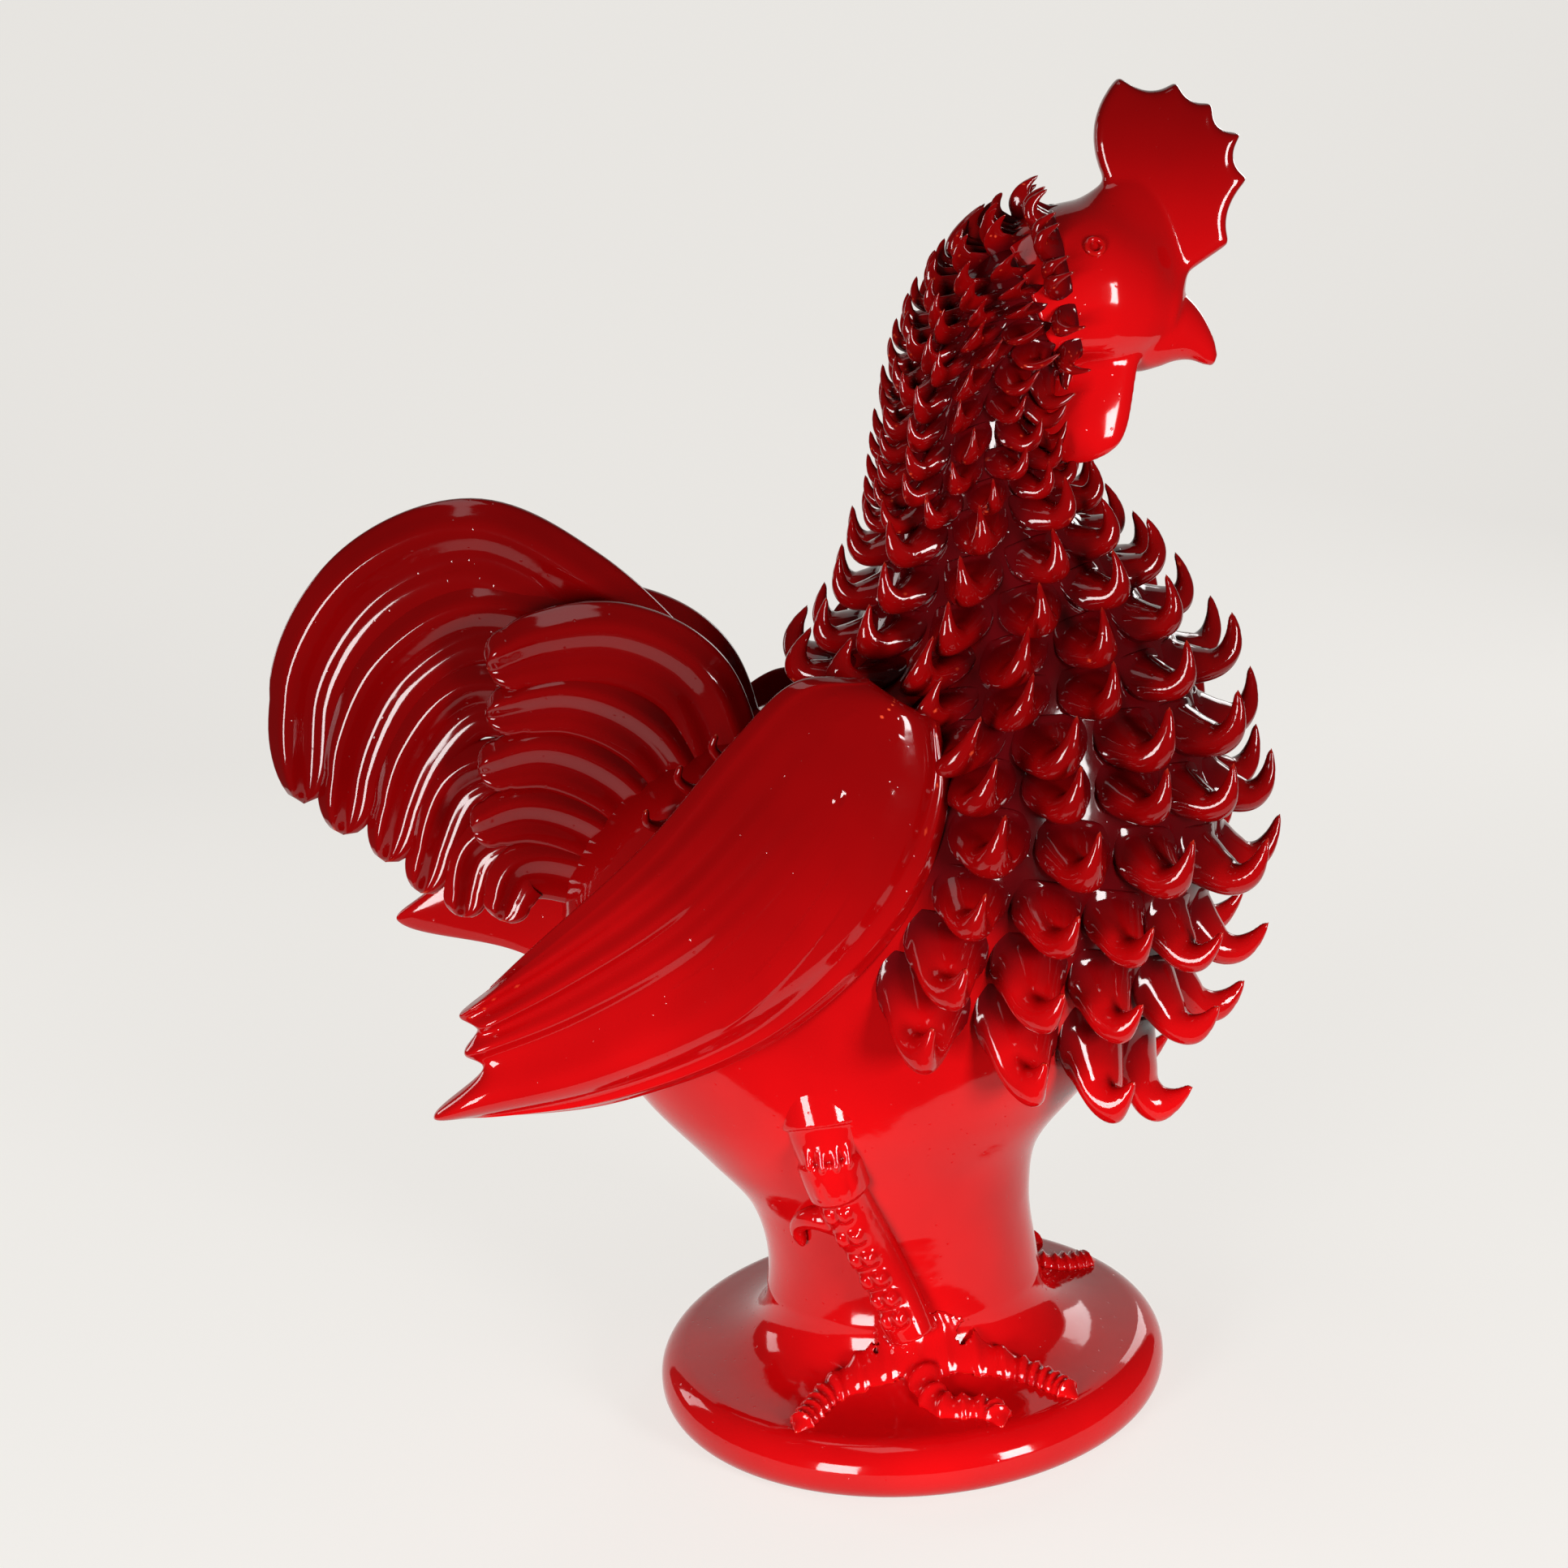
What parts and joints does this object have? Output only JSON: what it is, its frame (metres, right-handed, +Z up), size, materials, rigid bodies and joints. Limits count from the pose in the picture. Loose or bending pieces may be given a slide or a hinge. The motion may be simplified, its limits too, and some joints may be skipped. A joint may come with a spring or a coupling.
{
  "type": "ceramic cockerel ornament",
  "caption": "Free-standing red glazed ceramic cockerel with hooked hackle scales, comb, wattles, folded wings and an arched sickle tail, on a hollow round base.",
  "frame": {"origin": "middle of the round underside, on the floor", "axes": "+X where the beak points, +Y to the bird's own left, +Z up"},
  "size_m": [0.2846, 0.15, 0.3695],
  "materials": {
    "glaze_red": "gloss",
    "glaze_base": "gloss"
  },
  "bodies": {
    "root": {"base_disc": "glaze_base", "pedestal": "glaze_base", "body_shell": "glaze_red", "neck_shell": "glaze_red", "head": "glaze_red", "comb": "glaze_red", "beak": "glaze_red", "wattle_right": "glaze_red", "wing_right": "glaze_red", "leg_right": "glaze_red", "toe_back_right": "glaze_red", "toe_middle_right": "glaze_red", "toe_front_right": "glaze_red", "saddle_thorns_right": "glaze_red", "wattle_left": "glaze_red", "wing_left": "glaze_red", "leg_left": "glaze_red", "toe_back_left": "glaze_red", "toe_middle_left": "glaze_red", "toe_front_left": "glaze_red", "saddle_thorns_left": "glaze_red", "sickle_middle_1": "glaze_red", "sickle_middle_2": "glaze_red", "sickle_middle_3": "glaze_red", "sickle_middle_4": "glaze_red", "sickle_middle_5": "glaze_red", "sickle_right_1": "glaze_red", "sickle_right_2": "glaze_red", "sickle_right_3": "glaze_red", "sickle_right_4": "glaze_red", "sickle_right_5": "glaze_red", "sickle_left_1": "glaze_red", "sickle_left_2": "glaze_red", "sickle_left_3": "glaze_red", "sickle_left_4": "glaze_red", "sickle_left_5": "glaze_red", "scale_row_01": "glaze_red", "scale_row_02": "glaze_red", "scale_row_03": "glaze_red", "scale_row_04": "glaze_red", "scale_row_05": "glaze_red", "scale_row_06": "glaze_red", "scale_row_07": "glaze_red", "scale_row_08": "glaze_red", "scale_row_09": "glaze_red", "scale_row_10": "glaze_red", "scale_row_11": "glaze_red", "scale_row_12": "glaze_red", "scale_row_13": "glaze_red", "scale_row_14": "glaze_red", "scale_row_15": "glaze_red", "scale_row_16": "glaze_red", "scale_row_17": "glaze_red", "scale_row_18": "glaze_red", "scale_row_19": "glaze_red", "scale_row_20": "glaze_red"}
  },
  "joints": []
}
